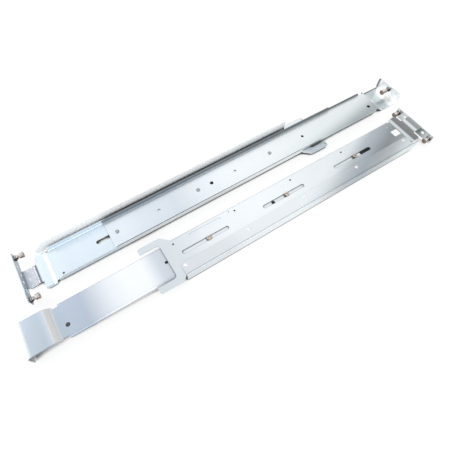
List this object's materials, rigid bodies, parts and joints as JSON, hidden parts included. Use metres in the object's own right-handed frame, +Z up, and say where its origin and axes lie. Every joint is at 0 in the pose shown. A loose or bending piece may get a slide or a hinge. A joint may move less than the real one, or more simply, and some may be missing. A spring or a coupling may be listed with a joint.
{
  "type": "sliding server rail pair",
  "caption": "Pair of zinc plated steel rack rails that telescope in depth: channel with a ledge and wide ear, sliding inner channel with a short ear, guide pins and captive screws.",
  "frame": {"origin": "on the outer face of the left rail's wide ear, at the middle of its hole pattern", "axes": "+X along the rails from the left rail's wide ear to its short ear, +Y across them towards the left rail's ledge, +Z up as they lie in the picture"},
  "size_m": [0.7698, 0.1812, 0.0245],
  "materials": {
    "outer_steel": "blue white zinc plating, semi gloss",
    "ledge_steel": "blue white zinc plating, semi gloss",
    "inner_steel": "blue white zinc plating, semi gloss",
    "rivet_steel": "bare pressed steel",
    "pin_yellow": "yellow passivated zinc plating",
    "sleeve_yellow": "yellow passivated zinc plating",
    "knob_yellow": "yellow passivated zinc plating",
    "spring_wire": "drawn wire",
    "label_white": "blank paper label"
  },
  "bodies": {
    "rails": {"left_outer_channel": "outer_steel", "left_ledge_bracket": "ledge_steel", "left_ledge_rivet_1": "rivet_steel", "left_ledge_rivet_2": "rivet_steel", "left_ledge_rivet_3": "rivet_steel", "left_ledge_rivet_4": "rivet_steel", "left_ledge_rivet_5": "rivet_steel", "left_outer_screw_1_sleeve": "sleeve_yellow", "left_outer_screw_2_sleeve": "sleeve_yellow", "right_outer_channel": "outer_steel", "right_ledge_bracket": "ledge_steel", "right_ledge_rivet_1": "rivet_steel", "right_ledge_rivet_2": "rivet_steel", "right_ledge_rivet_3": "rivet_steel", "right_ledge_rivet_4": "rivet_steel", "right_ledge_rivet_5": "rivet_steel", "right_outer_screw_1_sleeve": "sleeve_yellow", "right_outer_screw_2_sleeve": "sleeve_yellow", "right_label": "label_white"},
    "left_slider": {"left_inner_channel": "inner_steel", "left_guide_pin_1": "pin_yellow", "left_guide_pin_2": "pin_yellow", "left_guide_pin_3": "pin_yellow", "left_inner_screw_sleeve": "sleeve_yellow"},
    "left_outer_screw_1": {"left_outer_screw_1_knob": "knob_yellow", "left_outer_screw_1_spring": "spring_wire"},
    "left_outer_screw_2": {"left_outer_screw_2_knob": "knob_yellow", "left_outer_screw_2_spring": "spring_wire"},
    "left_inner_screw": {"left_inner_screw_knob": "knob_yellow", "left_inner_screw_spring": "spring_wire"},
    "right_slider": {"right_inner_channel": "inner_steel", "right_guide_pin_1": "pin_yellow", "right_guide_pin_2": "pin_yellow", "right_guide_pin_3": "pin_yellow", "right_inner_screw_sleeve": "sleeve_yellow"},
    "right_outer_screw_1": {"right_outer_screw_1_knob": "knob_yellow", "right_outer_screw_1_spring": "spring_wire"},
    "right_outer_screw_2": {"right_outer_screw_2_knob": "knob_yellow", "right_outer_screw_2_spring": "spring_wire"},
    "right_inner_screw": {"right_inner_screw_knob": "knob_yellow", "right_inner_screw_spring": "spring_wire"}
  },
  "joints": [
    {"name": "left_extension", "type": "slide", "parent": "rails", "child": "left_slider", "axis": [1, 0, 0], "range_m": [-0.033, 0.044]},
    {"name": "left_outer_screw_1_push", "type": "slide", "parent": "rails", "child": "left_outer_screw_1", "axis": [-1, 0, 0], "range_m": [0, 0.0045], "stiffness_N_per_m": 400, "springref_m": -0.003, "deforming": ["left_outer_screw_1_spring"]},
    {"name": "left_outer_screw_2_push", "type": "slide", "parent": "rails", "child": "left_outer_screw_2", "axis": [-1, 0, 0], "range_m": [0, 0.0045], "stiffness_N_per_m": 400, "springref_m": -0.003, "deforming": ["left_outer_screw_2_spring"]},
    {"name": "left_inner_screw_push", "type": "slide", "parent": "left_slider", "child": "left_inner_screw", "axis": [1, 0, 0], "range_m": [0, 0.0065], "stiffness_N_per_m": 400, "springref_m": -0.003, "deforming": ["left_inner_screw_spring"]},
    {"name": "right_extension", "type": "slide", "parent": "rails", "child": "right_slider", "axis": [-1, 0, 0], "range_m": [-0.033, 0.044]},
    {"name": "right_outer_screw_1_push", "type": "slide", "parent": "rails", "child": "right_outer_screw_1", "axis": [1, 0, 0], "range_m": [0, 0.0045], "stiffness_N_per_m": 400, "springref_m": -0.003, "deforming": ["right_outer_screw_1_spring"]},
    {"name": "right_outer_screw_2_push", "type": "slide", "parent": "rails", "child": "right_outer_screw_2", "axis": [1, 0, 0], "range_m": [0, 0.0045], "stiffness_N_per_m": 400, "springref_m": -0.003, "deforming": ["right_outer_screw_2_spring"]},
    {"name": "right_inner_screw_push", "type": "slide", "parent": "right_slider", "child": "right_inner_screw", "axis": [-1, 0, 0], "range_m": [0, 0.0065], "stiffness_N_per_m": 400, "springref_m": -0.003, "deforming": ["right_inner_screw_spring"]}
  ]
}
